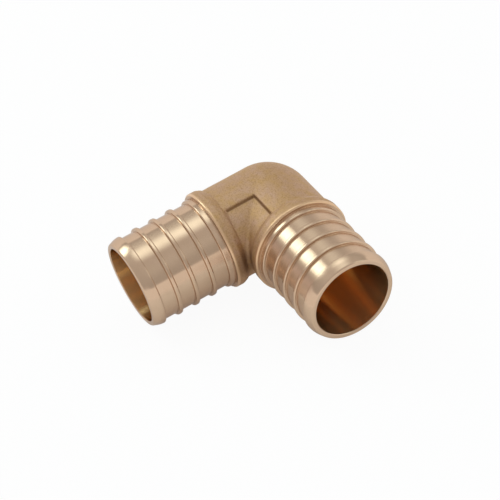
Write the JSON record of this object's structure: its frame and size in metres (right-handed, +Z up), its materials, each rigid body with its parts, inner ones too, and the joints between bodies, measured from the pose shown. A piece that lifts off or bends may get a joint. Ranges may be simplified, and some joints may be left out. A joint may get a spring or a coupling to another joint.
{
  "type": "barbed pipe elbow",
  "caption": "Right-angle brass elbow with a ribbed insert at each end, for crimping into plastic water tube.",
  "frame": {"origin": "centre of the footprint, at the height of the shoulders' lowest points", "axes": "+X along one insert from the bend to its tip, -Y along the other, +Z up, square to both"},
  "size_m": [0.0484, 0.0484, 0.0238],
  "materials": {
    "brass": "turned bright on the inserts and bores, blasted forging skin on the body and shoulders"
  },
  "bodies": {
    "root": {"elbow": "brass"}
  },
  "joints": []
}
